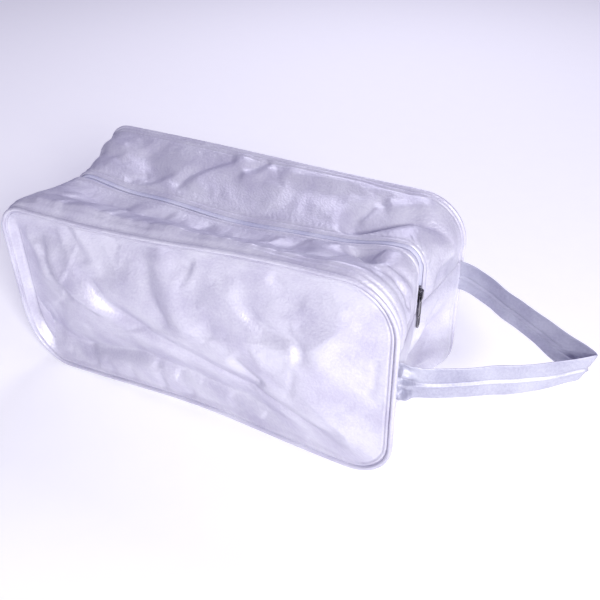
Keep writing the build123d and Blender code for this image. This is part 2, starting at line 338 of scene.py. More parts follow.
def crease(flat, path, depth, left, right, sharp=1.5):
    """A fold's height over flat cloth: -depth on the line, dying away over left and right millimetres.

    Height = -depth * taper * exp(-(d / width) ** sharp), with d the distance to the line, rounded off
    close to it, and the width chosen by the side of the line. A negative depth makes a ridge.
    """
    line = smooth_line(path, 8 * len(path))
    run = np.diff(line, axis=0)
    gap = flat[..., None, :] - line[:-1]
    share = np.clip((gap * run).sum(-1) / (run**2).sum(-1), 0, 1)
    offset = gap - share[..., None] * run
    distance = np.sqrt((offset**2).sum(-1))
    nearest = distance.argmin(-1)[..., None]
    d = np.take_along_axis(distance, nearest, -1)[..., 0]
    side = np.take_along_axis(run[:, 0] * offset[..., 1] - run[:, 1] * offset[..., 0], nearest, -1)[..., 0]
    width = right + (left - right) * ease(side / (d + 0.01), -1.2, 1.2)
    along = (nearest[..., 0] + np.take_along_axis(share, nearest, -1)[..., 0]) / len(run)
    taper = ease(along, -0.02, 0.2) * ease(1 - along, -0.02, 0.2)
    rounded = np.sqrt(d**2 + FOLD_RADIUS**2) - FOLD_RADIUS
    return -depth * taper * np.exp(-((rounded / width) ** sharp))


def lattice_noise(flat, size, seed):
    """Smooth noise from -1 to 1 over flat points: random values on a lattice, eased between them."""
    values = np.random.default_rng(seed).uniform(-1, 1, (128, 128))
    place = flat / size + 40
    cell = np.floor(place).astype(int)
    share = place - cell
    share = share * share * (3 - 2 * share)
    i, j = cell[..., 0] % 127, cell[..., 1] % 127
    u, v = share[..., 0], share[..., 1]
    low = values[i, j] * (1 - u) + values[i + 1, j] * u
    high = values[i, j + 1] * (1 - u) + values[i + 1, j + 1] * u
    return low * (1 - v) + high * v


def panel_grid(spec, y):
    """A panel's flat grid: rows from foot to top, each stretched between the outline's two sides.

    The rows' ends run up the two foot corners, the two straight sides and the two top corners, and the
    columns stand closer together near the seams.
    """
    almost = 1 - 1e-9
    foot, side, top = (np.linspace(0, 1, n) for n in (22, 74, 26))
    right = np.concatenate([7 + foot[:-1], 8 + side[:-1], 9 + top * almost])
    left = np.concatenate([6 - foot[:-1] * almost, 5 - side[:-1], 4 - top * almost])
    left[0] = 5 + almost
    right_x, right_z = outline(right, **spec)
    left_x, left_z = outline(left, **spec)
    fine, coarse = np.linspace(0, 0.035, 22), np.linspace(0.035, 0.965, 190)
    across = np.concatenate([fine[:-1], coarse, 1 - fine[-2::-1]])
    x = left_x[:, None] + across * (right_x - left_x)[:, None]
    z = left_z[:, None] + across * (right_z - left_z)[:, None]
    return np.stack([x, np.full_like(x, y), z], -1)


def seam_distance(points, left, right, foot, top, radii):
    """How far inside a rounded rectangle each flat point is: the signed distance to its outline."""
    x, z = points[..., 0] - (left + right) / 2, points[..., 2] - (foot + top) / 2
    radius = np.where(z > 0, np.where(x > 0, radii[0], radii[1]), np.where(x > 0, radii[3], radii[2]))
    over_x = np.abs(x) - (right - left) / 2 + radius
    over_z = np.abs(z) - (top - foot) / 2 + radius
    outside = np.hypot(np.maximum(over_x, 0), np.maximum(over_z, 0))
    return radius - outside - np.minimum(np.maximum(over_x, over_z), 0)


def settle(flat, seed, size=1.0, slants=(-32, 24, 68, -62)):
    """The cloth's own unevenness, in millimetres: swells, and crumple lines where two slack facets meet.

    Each layer is 1 - |noise|, which makes narrow ridges along the noise's zeros. The layers lie at four
    slants, and each one's place is shifted by a wider noise so that its lines wander.
    """
    height = 1.0 * lattice_noise(flat, 34, seed)
    wander = np.stack([lattice_noise(flat, 19, seed + 1), lattice_noise(flat, 19, seed + 2)], -1)
    shifted = flat + 7 * wander
    layers = ((26, 3.0, 1.0), (19, 2.4, -0.6), (15, 2.0, 0.4), (9, 2.2, 0.15))
    for layer, (width, stretch, rise) in enumerate(layers):
        c, s = math.cos(math.radians(slants[layer])), math.sin(math.radians(slants[layer]))
        slanted = np.stack([shifted @ (c, s) / stretch, shifted @ (-s, c)], -1)
        noise = lattice_noise(slanted, width, seed + 3 + layer)
        patches = 0.5 + 0.5 * lattice_noise(flat, 40, seed + 9 + layer)
        height += rise * (1 - np.sqrt(noise**2 + 0.002)) ** 2 * patches
    return size * height


def welt(edge):
    """The height beside a piped seam: a groove by the bead, the raised allowance, and a stitched line."""
    groove = -0.9 * np.exp(-(((edge - 2.0) / 0.7) ** 2))
    allowance = 0.6 * np.exp(-(((edge - 3.7) / 1.0) ** 2))
    return groove + allowance - 0.6 * np.exp(-(((edge - 5.6) / 0.7) ** 2))


# Each fold is a line of (x, z) points on a panel, its depth, how far it spreads to its left and to its
# right, seen along the line, and its sharpness. A negative depth is a ridge. On the front, broad folds
# are then deepened to 1.3 times their depth, and narrow ones eased to 0.7 times.
FRONT_FOLDS = (
    ([(-112, 128), (-90, 110), (-66, 89), (-21, 71), (19, 59), (63, 43), (118, 21), (155, 14)],
     4.68, 11, 6, 1.3),
    ([(-140, 142), (-121, 113), (-103, 100), (-64, 79)], -4.68, 7, 5, 1.5),
    ([(-150, 128), (-128, 106), (-108, 90)], 2.6, 6, 6, 1.5),
    ([(44, 138), (65, 124), (81, 118), (99, 116), (106, 108), (102, 96)], 3.9, 7, 4.5, 1.4),
    ([(76, 163), (90, 153), (108, 145)], 2.86, 6, 4, 1.4),
    ([(-16, 163), (0, 154), (14, 148)], 2.08, 7, 5, 1.5),
    ([(44, 84), (58, 72), (72, 60)], 2.34, 6, 5, 1.4),
    ([(76, 83), (86, 72), (102, 66)], 1.82, 4, 4, 1.4),
    ([(101, 92), (97, 72)], 1.43, 2.4, 2.4, 1.4),
    ([(160, 118), (159, 82)], 2.08, 2.6, 3, 1.4),
    ([(153, 90), (160, 78), (170, 76)], 1.56, 3, 3, 1.4),
    ([(168, 154), (143, 143)], 1.17, 5, 3, 1.4),
    ([(-22, 162), (-12, 137), (0, 112), (18, 88)], -3.64, 10, 12, 1.6),
    ([(-33, 148), (-27, 118), (-8, 92)], 1.95, 7, 7, 1.5),
    ([(-121, 154), (-115, 134), (-100, 112)], -1.82, 4, 4, 1.5),
    ([(-105, 160), (-94, 143), (-78, 120)], -1.82, 4, 4, 1.5),
    ([(-112, 156), (-104, 140), (-92, 124)], 1.43, 3, 3, 1.5),
    ([(-76, 161), (-56, 148)], 1.43, 4, 4, 1.5),
    ([(-166, 140), (-150, 118), (-146, 90)], -1.82, 6, 6, 1.5),
    ([(60, 60), (95, 46), (130, 34)], -1.56, 8, 6, 1.6),
)
# Short puckers along the foot seam: begin, end and depth.
PUCKERS = (
    ((-153, 10), (-135, 16), 1.2), ((-124, 27), (-105, 10), 1.6), ((-99, 24), (-84, 9), 1.1),
    ((-70, 26), (-62, 10), 0.9), ((-43, 39), (-28, 13), 1.7), ((-22, 33), (0, 15), 1.5),
    ((30, 26), (44, 12), 1.0), ((62, 19), (77, 7), 0.9), ((104, 14), (120, 5), 0.8),
)
# The front caves in along its left seam and its foot seam: two creases, broad on their inner side.
LEFT_HOLLOW = [(-180, 162), (-175, 128), (-173, 92), (-171, 60), (-163, 30), (-150, 4)]
FOOT_HOLLOW = [(-186, 74), (-168, 42), (-130, 25), (-95, 31), (-55, 41), (-20, 37), (20, 30), (70, 22),
               (135, 9)]
HOLLOW_DEPTH = 16
FRONT_BULGE, BACK_BULGE = 14.0, 10.0
front_grid = panel_grid(FRONT, -HALF_DEPTH)
front_edge = seam_distance(front_grid, **FRONT)
front_grid = slump(front_grid)
front_flat = front_grid[..., [0, 2]]
front_relief = FRONT_BULGE * ease(front_edge, 0, 80) + settle(front_flat, 3, 0.6, (-60, -28, -50, -72))
left_hollow = -crease(front_flat, LEFT_HOLLOW, 0.55, 100, 7, 1.5)
foot_hollow = -crease(front_flat, FOOT_HOLLOW, 1, 40, 8, 1.15)
front_relief -= HOLLOW_DEPTH * (1 - (1 - left_hollow) * (1 - foot_hollow))
for path, depth, left, right, sharp in FRONT_FOLDS:
    broad = left + right > 10
    front_relief += crease(front_flat, path, (1.3 if broad else 0.7) * depth, left, right, sharp)
for begin, stop, depth in PUCKERS:
    front_relief += crease(front_flat, [begin, stop], depth, 2.5, 4)
front_grid[..., 1] -= front_relief * ease(front_edge, 1, 8) + welt(front_edge)
front_panel = grid_object("front_panel_cloth", front_grid)
buckle(front_panel, ease(front_edge, 5, 22), 0.004, 2.0)
thicken(front_panel, CLOTH)

BACK_FOLDS = (
    ([(-160, 150), (-120, 128), (-70, 96), (-10, 66), (60, 40), (140, 16)], 3.6, 9, 14, 1.3),
    ([(165, 140), (150, 100), (152, 50), (138, 24), (90, 20), (20, 24), (-60, 15)], 6, 10, 34, 1.2),
    ([(130, 150), (96, 118), (60, 98)], -3, 8, 6, 1.5),
    ([(20, 160), (-8, 130), (-50, 112)], 2.2, 8, 6, 1.4),
    ([(-150, 90), (-120, 70), (-80, 58)], -2.2, 7, 7, 1.5),
    ([(84, 150), (70, 128), (44, 116)], 1.6, 5, 5, 1.5),
    ([(-100, 150), (-84, 130)], 1.4, 4, 4, 1.5),
    ([(110, 84), (92, 66), (60, 58)], 1.6, 5, 5, 1.4),
)
back_grid = panel_grid(BACK, HALF_DEPTH)
back_edge = seam_distance(back_grid, **BACK)
back_grid = slump(back_grid)
back_flat = back_grid[..., [0, 2]]
back_relief = BACK_BULGE * ease(back_edge, 0, 85) + settle(back_flat, 23)
for path, depth, left, right, sharp in BACK_FOLDS:
    back_relief += crease(back_flat, path, depth, left, right, sharp)
back_grid[..., 1] += back_relief * ease(back_edge, 1, 8) + welt(back_edge)
back_panel = grid_object("back_panel_cloth", back_grid, flip=True)
buckle(back_panel, ease(back_edge, 5, 22), 0.005, 2.0)
thicken(back_panel, CLOTH)


def woven(name, light, shade, pitch, roughness, crumple, metallic=0.0, coat=0.0):
    """A woven cloth material on the cloth's own millimetres: threads pitch apart, with fine crumples."""
    made = bpy.data.materials.new(name)
    made.use_nodes = True
    tree = made.node_tree
    shader = tree.nodes["Principled BSDF"]
    shader.inputs["Roughness"].default_value = roughness
    shader.inputs["Metallic"].default_value = metallic
    shader.inputs["Coat Weight"].default_value = coat
    shader.inputs["Coat Roughness"].default_value = 0.33
    place = node(tree, "ShaderNodeUVMap", uv_map="cloth_mm").outputs["UV"]
    warp, weft = (
        node(tree, "ShaderNodeTexWave", {"Vector": place}, bands_direction=way, Scale=0.314 / pitch,
             Distortion=0.3)
        for way in "XY"
    )
    threads = node(tree, "ShaderNodeMath", operation="MULTIPLY")
    tree.links.new(warp.outputs["Fac"], threads.inputs[0])
    tree.links.new(weft.outputs["Fac"], threads.inputs[1])
    fine = node(tree, "ShaderNodeTexNoise", {"Vector": place}, Scale=0.45, Detail=4.0, Roughness=0.6)
    broad = node(tree, "ShaderNodeTexNoise", {"Vector": place}, Scale=0.03, Detail=2.0, Roughness=0.5)
    crumpled = node(tree, "ShaderNodeBump", {"Height": fine.outputs["Fac"]}, Strength=crumple,
                    Distance=0.0012)
    heights = {"Height": threads.outputs[0], "Normal": crumpled.outputs["Normal"]}
    surface = node(tree, "ShaderNodeBump", heights, Strength=0.25, Distance=0.0002)
    tree.links.new(surface.outputs["Normal"], shader.inputs["Normal"])
    mixed = node(tree, "ShaderNodeMath", operation="MULTIPLY_ADD")
    tree.links.new(fine.outputs["Fac"], mixed.inputs[0])
    mixed.inputs[1].default_value = 0.55
    tree.links.new(broad.outputs["Fac"], mixed.inputs[2])
    ramp = node(tree, "ShaderNodeValToRGB", {"Fac": mixed.outputs[0]})
    ramp.color_ramp.elements[0].position = 0.55
    ramp.color_ramp.elements[0].color = colour(shade)
    ramp.color_ramp.elements[1].position = 0.95
    ramp.color_ramp.elements[1].color = colour(light)
    tree.links.new(ramp.outputs["Color"], shader.inputs["Base Color"])
    return made


# Satin taffeta with a silver coat: thin smooth cloth with a broad, soft lustre. The threads are drawn
# 0.8 mm apart, coarser than the real 0.2 mm, so that they show.
nylon = woven("silver_coated_nylon_taffeta", "#e0dfea", "#c9c6d8", 0.8, 0.38, 0.4, metallic=0.2, coat=0.45)


def open_with(piece):
    """Bakes the piece's place into its mesh; it is not joined to the bag's body or to a half of the mouth."""
    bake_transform(piece)


for half, panel in (("front", front_panel), ("back", back_panel)):
    panel.data.materials.append(nylon)
    open_with(panel)
    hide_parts(f"{half}_panel_upper", f"{half}_panel_lower")

# ---------------------------------------------------------------------------------------------
# Zip strips. Two strips of the same nylon lie over the top and down both ends to the cross seams.
# Their inner edges are folded under into hems and stitched to the zip, and the outer ones are piped.

END_WALL = 110  # the straight part of an end wall, in millimetres
CROSS_SEAM = 0.72  # the share of it that lies below the cross seam


def run_of(start, end, step=2.0):
    """Values of t from start to end, spaced about step millimetres apart round the front seam."""
    t = np.linspace(start, end, 4000)
    legs = np.linalg.norm(np.diff(shell(t, -np.ones_like(t)), axis=0), axis=-1)
    walked = np.concatenate([[0], np.cumsum(legs)])
    return np.interp(np.linspace(0, walked[-1], int(walked[-1] / step)), walked, t)


def unrolled(t):
    """The distance along the zip's line from the middle of the bag's top, more towards the right end."""
    fine = np.linspace(0, 8, 4001)
    x, z = outline(np.minimum(fine, 7.9999), **MIDDLE)
    walked = np.concatenate([[0], np.cumsum(np.hypot(np.diff(x), np.diff(z)))])
    top_middle = np.interp(2.5, fine, walked)
    return top_middle - np.interp(t % 8, fine, walked)


def cross_seam(v):
    """Where the cross seam lies at each v: it rises towards the piped seams."""
    return CROSS_SEAM + 0.14 * np.abs(v) ** 1.5


def outward_normals(grid):
    """Outward unit normals over a grid whose rows go round the bag and whose columns go front to back."""
    normal = np.cross(np.gradient(grid, axis=1), np.gradient(grid, axis=0))
    return normal / np.linalg.norm(normal, axis=-1, keepdims=True)


# The zip strips' folds, as lines of (distance along the zip from the top's middle, depth) points.
STRIP_FOLDS = {
    "front": (
        ([(-165, -26), (-60, -29), (40, -31), (105, -32)], 5.0, 17, 15, 1.8),
        ([(-150, -50), (-126, -42), (-100, -30), (-80, -14)], 2.0, 5, 8, 1.4),
        ([(-72, -44), (-60, -26), (-40, -18)], 2.0, 8, 5, 1.4),
        ([(-8, -46), (-12, -26), (-6, -10)], 1.6, 5, 7, 1.4),
        ([(30, -44), (50, -30), (62, -12)], -1.6, 6, 6, 1.5),
        ([(76, -52), (101, -44), (117, -42), (118, -28), (121, -12)], 2.6, 6, 5, 1.3),
        ([(76, -10), (98, -19), (112, -12)], -1.8, 5, 5, 1.4),
        ([(108, -8), (126, -19), (140, -31), (153, -43)], 8.5, 14, 4, 1.15),
        ([(135, -12), (150, -16), (160, -26)], -2.2, 8, 8, 1.6),
        ([(149, -45), (157, -43), (163, -37)], -4.6, 3.4, 3.4, 1.5),
        ([(152, -56), (160, -51), (166, -45)], -2.8, 3, 3, 1.5),
        ([(156, -48), (164, -50)], 2.2, 2, 2, 1.5),
        ([(120, -64), (150, -61), (176, -61), (196, -64)], -1.6, 2.4, 3, 1.5),
        ([(166, -34), (182, -30), (200, -34)], 1.8, 8, 6, 1.5),
    ),
    "back": (
        ([(-176, 52), (-162, 50), (-146, 47), (-132, 45)], -2.0, 5, 5, 1.5),
        ([(-178, 36), (-164, 38), (-146, 34), (-132, 40)], 1.8, 5, 5, 1.4),
        ([(-180, 22), (-164, 20), (-140, 24)], 1.2, 6, 6, 1.5),
        ([(-118, 52), (-100, 34), (-84, 16)], 4.0, 16, 14, 1.5),
        ([(-114, 8), (-106, 19), (-98, 26)], 1.4, 4, 4, 1.4),
        ([(-66, 12), (-59, 34), (-34, 54), (-22, 62)], 2.6, 6, 5, 1.3),
        ([(-56, 16), (-44, 38), (-24, 56), (-8, 66)], -2.2, 6, 7, 1.5),
        ([(-14, 44), (2, 49), (15, 62)], -2.6, 4, 4, 1.4),
        ([(-14, 51), (2, 62), (8, 68)], 1.8, 3, 3, 1.4),
        ([(20, 58), (60, 61), (114, 64)], -2.0, 9, 5, 1.5),
        ([(30, 40), (60, 44), (90, 38)], 1.4, 10, 10, 1.5),
        ([(93, 8), (99, 24), (112, 44), (121, 64)], 2.2, 5, 5, 1.3),
        ([(104, 26), (112, 36), (116, 50)], -1.6, 4, 4, 1.5),
        ([(90, 9), (115, 20), (140, 33), (164, 48)], 9.0, 15, 4, 1.15),
        ([(158, 60), (166, 48), (170, 32), (176, 20), (190, 15), (204, 14)], -3.4, 4, 6, 1.3),
        ([(120, 44), (140, 52), (156, 58)], -1.8, 5, 5, 1.5),
        ([(176, 34), (190, 42), (204, 56)], -1.6, 6, 6, 1.5),
        ([(166, 66), (184, 63), (200, 66)], 1.4, 3, 3, 1.5),
    ),
}
HEM = 3.6


def slot_half(t):
    """Half the gap between the strips' folded edges: wider at the right end, round the slider."""
    return 3.9 + 2.0 * (1 - ease(np.minimum(t, 4), 0.95, 1.25))


def standing_band(s, y):
    """The front strip's rise beside the piping, where the seam allowances hold the cloth up.

    It is a tent whose crest is about 7.5 mm from the seam, 13 mm high on the left and lower to the right.
    """
    inward = HALF_DEPTH + y
    height = (13 - 8 * ease(s, -130, 135)) * ease(s, -178, -118) * (1 - ease(s, 140, 180))
    along = np.stack([s, 0 * s], -1)
    wobble = 1 + 0.12 * lattice_noise(along, 21, 9) + 0.07 * lattice_noise(along, 7, 10)
    crest = 7.5 + 1.2 * lattice_noise(along, 26, 12)
    up, down = inward / crest, (46 - inward) / (46 - crest)
    tent = -0.06 * np.logaddexp(-up / 0.06, -down / 0.06)
    return height * wobble * np.clip(tent, 0, 1)


def strip_relief(half, flat, to_seam, to_slot, to_cross):
    """How far a zip strip stands off the bag's plain form, by its distances from its four edges.

    It adds the settling and folds, flattened towards the edges, the front strip's standing band, the
    puckers and the line of the zip's stitching, and the folded hem.
    """
    sign = 1 if half == "back" else -1
    relief = settle(flat, 41 if sign > 0 else 52, 0.6)
    for path, depth, left, right, sharp in STRIP_FOLDS[half]:
        relief += crease(flat, path, depth, left, right, sharp)
    relief *= ease(to_seam, 0, 4) * ease(to_slot, 1, 9) * ease(to_cross, 0, 9)
    if half == "front":
        relief += standing_band(flat[..., 0], flat[..., 1])
    pull = 0.4 * np.sin(flat[..., 0] * 2 * math.pi / 5.2 + 0.6 * to_slot * sign)
    relief += pull * np.exp(-(((to_slot - 8) / 4) ** 2)) * (1 if sign > 0 else 0.4)
    stitched = np.exp(-(((to_slot - HEM - 0.5) / 0.6) ** 2))
    return relief + CLOTH * ease(HEM - to_slot, 0, 0.8) - 0.5 * stitched


upper_run = run_of(CROSS_SEAM, 5 - CROSS_SEAM)
upper_share = ((upper_run - upper_run[0]) / (upper_run[-1] - upper_run[0]))[:, None]
strip_spread = (np.linspace(0, 9, 17)[:-1], np.linspace(9, 46, 26)[:-1], np.linspace(46, 71, 26))
strip_spread = np.concatenate(strip_spread) / 71
strips = {}
for half, sign in (("front", -1), ("back", 1)):
    edge = slot_half(CROSS_SEAM + upper_share * (5 - 2 * CROSS_SEAM))
    v = sign * (edge + (HALF_DEPTH - edge) * strip_spread) / HALF_DEPTH
    seam = cross_seam(v)
    t = seam + upper_share * (5 - 2 * seam)
    grid = shell(t, v)
    normal = outward_normals(grid) * sign
    y = v * HALF_DEPTH
    flat = np.stack([unrolled(t), y], -1)
    to_seam = HALF_DEPTH - np.abs(y)
    to_slot = np.abs(y) - edge
    to_cross = np.minimum(t - seam, 5 - seam - t) * END_WALL
    relief = strip_relief(half, flat, to_seam, to_slot, to_cross)
    relief += welt(to_seam) - np.exp(-((to_slot / 0.6) ** 2)) - 0.9 * np.exp(-((to_cross / 0.9) ** 2))
    grid = grid + normal * relief[..., None]
    strips[half] = grid_object(f"{half}_zip_gusset_cloth", grid, flip=sign > 0)
    free = ease(to_seam, 3, 12) * ease(to_slot, 5, 14) * ease(to_cross, 2, 12)
    buckle(strips[half], free, 0.003, 1.5)
    thicken(strips[half], CLOTH)
    strips[half].data.materials.append(nylon)
    open_with(strips[half])
    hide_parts(f"{half}_zip_gusset")

# ---------------------------------------------------------------------------------------------
# Foot gusset. One wide strip of the nylon runs down the right end, along the foot and up the left
# end. The seams with the panels are piped, and its ends are sewn to the zip strips.

# The folds are lines like the zip strips': the distance runs on down the right end, or the left one.
FOOT_FOLDS = (
    ([(236, 68), (238, 44), (246, 24), (262, 8)], 3.4, 8, 10, 1.4),
    ([(212, 14), (232, 12), (256, 10)], -3.0, 6, 7, 1.4),
    ([(214, -50), (240, -34), (270, -20)], 3.4, 9, 9, 1.4),
    ([(262, 60), (284, 40), (296, 16)], -2.4, 7, 7, 1.5),
    ([(206, 40), (222, 30), (230, 12)], 2.0, 5, 5, 1.5),
    ([(-212, 10), (-236, 8), (-262, 2)], -3.0, 7, 7, 1.4),
    ([(-210, 52), (-240, 36), (-270, 24)], 3.2, 8, 8, 1.4),
    ([(-214, -56), (-232, -36), (-262, -26)], 2.8, 8, 8, 1.4),
)
END_HOLLOW = 13
foot_run = run_of(5 - CROSS_SEAM, 8 + CROSS_SEAM)
foot_share = ((foot_run - foot_run[0]) / (foot_run[-1] - foot_run[0]))[:, None]
foot_spread = (np.linspace(-71, -58, 12)[:-1], np.linspace(-58, 58, 62)[:-1], np.linspace(58, 71, 12))
foot_spread = np.concatenate(foot_spread) / 71
v = np.broadcast_to(foot_spread, (len(foot_run), len(foot_spread)))
seam = cross_seam(v)
t = 5 - seam + foot_share * (3 + 2 * seam)
foot_grid = shell(t, v)
foot_normal = outward_normals(foot_grid)
round_trip = unrolled(np.array([0.0])) - unrolled(np.array([7.9999]))
foot_s = unrolled(t) + np.where((t > 6.5) & (t < 8), round_trip, 0)
foot_flat = np.stack([foot_s, v * HALF_DEPTH], -1)
to_seam = HALF_DEPTH - np.abs(v * HALF_DEPTH)
to_cross = np.minimum(t - 5 + seam, 8 + seam - t) * END_WALL
foot_relief = settle(foot_flat, 77)
for path, depth, left, right, sharp in FOOT_FOLDS:
    foot_relief += crease(foot_flat, path, depth, left, right, sharp)
foot_relief -= END_HOLLOW * ease(foot_s, 205, 285) * ease(to_seam, 4, 34)
foot_relief *= ease(to_seam, 0, 4) * ease(to_cross, 0, 9) * ease(foot_grid[..., 2], 4, 26)
off_floor = ease(foot_grid[..., 2], 1, 12)
foot_relief += (welt(to_seam) - 0.9 * np.exp(-((to_cross / 0.9) ** 2))) * off_floor
foot_grid = foot_grid + foot_normal * foot_relief[..., None]
foot_gusset = grid_object("foot_gusset_cloth", foot_grid, flip=True)
free = ease(to_seam, 3, 12) * ease(to_cross, 2, 12) * ease(foot_grid[..., 2], 4, 20)
buckle(foot_gusset, free, 0.006, 1.5)
thicken(foot_gusset, CLOTH)
foot_gusset.data.materials.append(nylon)
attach(foot_gusset, "bag_body")
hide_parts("foot_gusset")

# ---------------------------------------------------------------------------------------------
# Piping. A bias strip of the same nylon folded over a cord and sewn into each panel's seam, all
# the way round. The pull of the stitching puckers it.

PIPING_STEP = 1.3
PIPING_RADIUS = 1.75


def sweep(path, side, up, profile):
    """A profile of (side, up) rows carried along a path: one row of points for each path point."""
    return path[:, None] + profile[None, :, :1] * side[:, None] + profile[None, :, 1:] * up[:, None]


def circle_profile(radius, count):
    """Points round a circle."""
    angle = np.linspace(0, 2 * math.pi, count, endpoint=False)
    return radius * np.stack([np.cos(angle), np.sin(angle)], -1)


def seam_frame(v, step):
    """The seam line at v = -1 or 1 with, at each point, the directions outwards and along Y."""
    t = run_of(0, 8, step)[:-1]
    line = shell(t, np.full_like(t, float(v)))
    along = np.roll(line, -1, 0) - np.roll(line, 1, 0)
    along /= np.linalg.norm(along, axis=-1, keepdims=True)
    depth = np.tile((0.0, 1.0, 0.0), (len(t), 1))
    outward = np.cross(depth, along)
    outward /= np.linalg.norm(outward, axis=-1, keepdims=True)
    return line, outward, depth


for half, v in (("front", -1), ("back", 1)):
    line, outward, depth = seam_frame(v, PIPING_STEP)
    tube = sweep(line, outward, depth, circle_profile(1.0, 14))
    walked = np.arange(len(line)) * PIPING_STEP
    pucker = 1 + 0.05 * lattice_noise(np.stack([walked, 0 * walked], -1), 2.6, 11)
    tube = line[:, None] + (tube - line[:, None]) * (PIPING_RADIUS * pucker)[:, None, None]
    piping = grid_object(f"{half}_piping_cloth", tube, around=True, closed=True, flip=True)
    piping.data.materials.append(nylon)
    open_with(piping)
    levels = ("upper", "lower")
    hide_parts(*(f"{half}_piping_{part}_{level}" for part in ("cover", "cord") for level in levels))

# ---------------------------------------------------------------------------------------------
# Seam bindings. Woven tape sewn over the raw edges inside the piped seams and the cross seams.

BINDING_WIDTH, BINDING_THICKNESS = 8, 1.2
BINDING_INSET = 15.5  # from the seam to the binding's middle, on the slant between panel and gusset
# Plain woven polyester tape, matt, its threads drawn 1.2 mm apart.
tape_cloth = woven("matt_polyester_bias_tape", "#c9c7d6", "#aaa7bd", 1.2, 0.8, 0.3)


def rounded_strip(width, thickness, count=4):
    """A flat strip's section with round edges, width by thickness, centred on the path."""
    radius = thickness / 2
    angle = np.radians(np.linspace(-90, 90, count))
    right = np.stack([width / 2 - radius + radius * np.cos(angle), radius * np.sin(angle)], -1)
    return np.vstack([right, -right])


for half, v in (("front", -1), ("back", 1)):
    line, outward, depth = seam_frame(v, 3.0)
    slant = (outward + depth * v) / math.sqrt(2)
    facing = (outward - depth * v) / math.sqrt(2)
    band = sweep(line - slant * BINDING_INSET, slant, facing, rounded_strip(BINDING_WIDTH, BINDING_THICKNESS))
    binding = grid_object(f"{half}_seam_binding", band, around=True, closed=True, flip=v < 0)
    binding.data.materials.append(tape_cloth)
    open_with(binding)
    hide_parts(f"{half}_seam_binding_upper", f"{half}_seam_binding_lower")

for end_name, t_seam, lean in (("right", CROSS_SEAM, 1), ("left", 5 - CROSS_SEAM, -1)):
    v = np.linspace(-0.93, 0.93, 80)
    line = shell(np.full_like(v, t_seam), v) - np.array((2.2 * lean, 0, 4.5))
    outward = np.tile((0.0, 0.0, 1.0), (len(v), 1))
    inward = np.tile((float(lean), 0.0, 0.0), (len(v), 1))
    band = sweep(line, outward, inward, rounded_strip(BINDING_WIDTH, BINDING_THICKNESS))
    binding = grid_object(f"{end_name}_cross_binding", band, around=True, caps=True)
    binding.data.materials.append(tape_cloth)
    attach(binding, "bag_body")
    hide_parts(f"{end_name}_cross_seam_binding")

# ---------------------------------------------------------------------------------------------
# The zip. A reversed nylon coil zip: two woven tapes meet along the middle with their smooth
# sides out, and each carries its coil of monofilament on the inner side.

# Zip tape is a dense herringbone of polyester, bluish beside the cloth, drawn with threads 1 mm apart.
zip_tape = woven("herringbone_polyester_zip_tape", "#dcdcec", "#c2c3dc", 1.0, 0.6, 0.3, coat=0.1)

# The coil is drawn nylon monofilament: smooth, slightly clear plastic with faint streaks along it.
coil_nylon = bpy.data.materials.new("nylon_monofilament")
coil_nylon.use_nodes = True
coil_tree = coil_nylon.node_tree
coil_shader = coil_tree.nodes["Principled BSDF"]
coil_shader.inputs["Roughness"].default_value = 0.3
coil_shader.inputs["Subsurface Weight"].default_value = 0.15
coil_shader.inputs["Subsurface Scale"].default_value = 0.001
coil_place = node(coil_tree, "ShaderNodeTexCoord").outputs["Object"]
streaks = node(coil_tree, "ShaderNodeTexNoise", {"Vector": coil_place}, Scale=900.0, Detail=2.0)
coil_ramp = node(coil_tree, "ShaderNodeValToRGB", {"Fac": streaks.outputs["Fac"]})
coil_ramp.color_ramp.elements[0].color = colour("#a3a5c4")
coil_ramp.color_ramp.elements[1].color = colour("#cdcfe3")
coil_tree.links.new(coil_ramp.outputs["Color"], coil_shader.inputs["Base Color"])
TAPE_DROP = 1.0
TAPE_HALF = 15
TAPE_THICKNESS = 0.5
COIL_LINE = 1.6
COIL_DROP = TAPE_DROP + 2.2
COIL_WIDTH, COIL_HEIGHT = 1.25, 0.85
WIRE_RADIUS = 0.34

